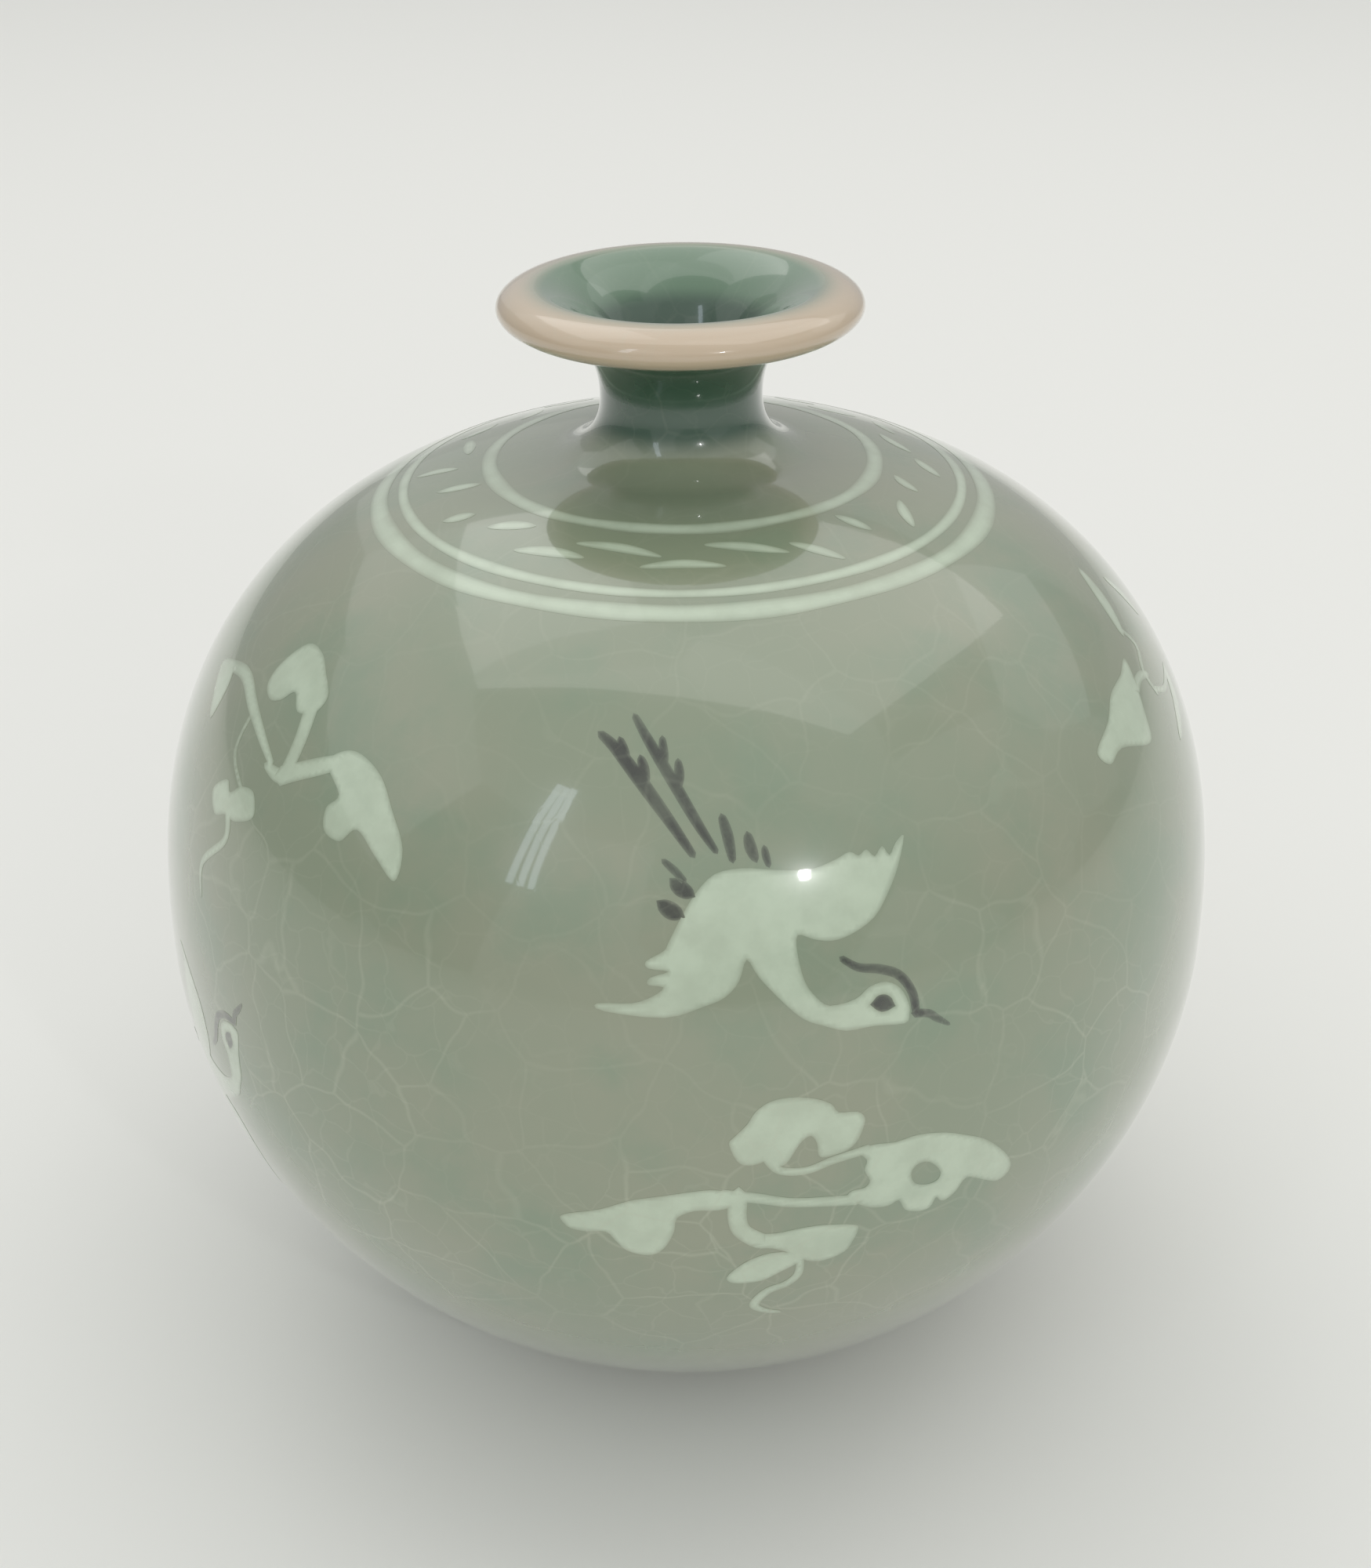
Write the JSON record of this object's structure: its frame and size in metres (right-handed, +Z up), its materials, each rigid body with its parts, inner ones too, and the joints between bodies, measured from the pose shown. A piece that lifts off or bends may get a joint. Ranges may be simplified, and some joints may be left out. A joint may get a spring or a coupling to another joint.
{
  "type": "inlaid celadon vase",
  "caption": "Small round celadon vase with a narrow neck, a flared rolled lip and flush slip inlays of cranes, clouds, leaf strokes and shoulder rings.",
  "frame": {"origin": "centre of the foot ring's contact plane, on the table", "axes": "+Z up along the vase's axis, -Y towards the front crane, +X to its right"},
  "size_m": [0.125, 0.125, 0.1306],
  "materials": {
    "celadon_glaze": "glossy translucent grey-green glaze with fine crackle over grey stoneware",
    "white_slip": "white slip under the glossy green glaze",
    "black_slip": "black slip under the glossy green glaze"
  },
  "bodies": {
    "root": {"vessel": "celadon_glaze", "inner_ring_inlay": "white_slip", "middle_ring_inlay": "white_slip", "outer_ring_inlay": "white_slip", "leaf_inlay_01": "white_slip", "leaf_inlay_02": "white_slip", "leaf_inlay_03": "white_slip", "leaf_inlay_04": "white_slip", "leaf_inlay_05": "white_slip", "leaf_inlay_06": "white_slip", "leaf_inlay_07": "white_slip", "leaf_inlay_08": "white_slip", "leaf_inlay_09": "white_slip", "leaf_inlay_10": "white_slip", "leaf_inlay_11": "white_slip", "leaf_inlay_12": "white_slip", "leaf_inlay_13": "white_slip", "leaf_inlay_14": "white_slip", "leaf_inlay_15": "white_slip", "leaf_inlay_16": "white_slip", "leaf_inlay_17": "white_slip", "leaf_inlay_18": "white_slip", "leaf_inlay_19": "white_slip", "leaf_inlay_20": "white_slip", "leaf_inlay_21": "white_slip", "leaf_inlay_22": "white_slip", "leaf_inlay_23": "white_slip", "leaf_inlay_24": "white_slip", "crane_1_body": "white_slip", "crane_2_body": "white_slip", "crane_3_body": "white_slip", "cloud_1": "white_slip", "cloud_2": "white_slip", "cloud_3": "white_slip", "cloud_4": "white_slip", "cloud_5": "white_slip", "crane_1_tail_left": "black_slip", "crane_1_tail_right": "black_slip", "crane_1_wingtip_low": "black_slip", "crane_1_wingtip_high": "black_slip", "crane_1_scapular_long": "black_slip", "crane_1_scapular_short": "black_slip", "crane_1_crown_and_beak": "black_slip", "crane_1_eye": "black_slip", "crane_2_tail_left": "black_slip", "crane_2_tail_right": "black_slip", "crane_2_wingtip_low": "black_slip", "crane_2_wingtip_high": "black_slip", "crane_2_scapular_long": "black_slip", "crane_2_scapular_short": "black_slip", "crane_2_crown_and_beak": "black_slip", "crane_2_eye": "black_slip", "crane_3_tail_left": "black_slip", "crane_3_tail_right": "black_slip", "crane_3_wingtip_low": "black_slip", "crane_3_wingtip_high": "black_slip", "crane_3_scapular_long": "black_slip", "crane_3_scapular_short": "black_slip", "crane_3_crown_and_beak": "black_slip", "crane_3_eye": "black_slip"}
  },
  "joints": []
}
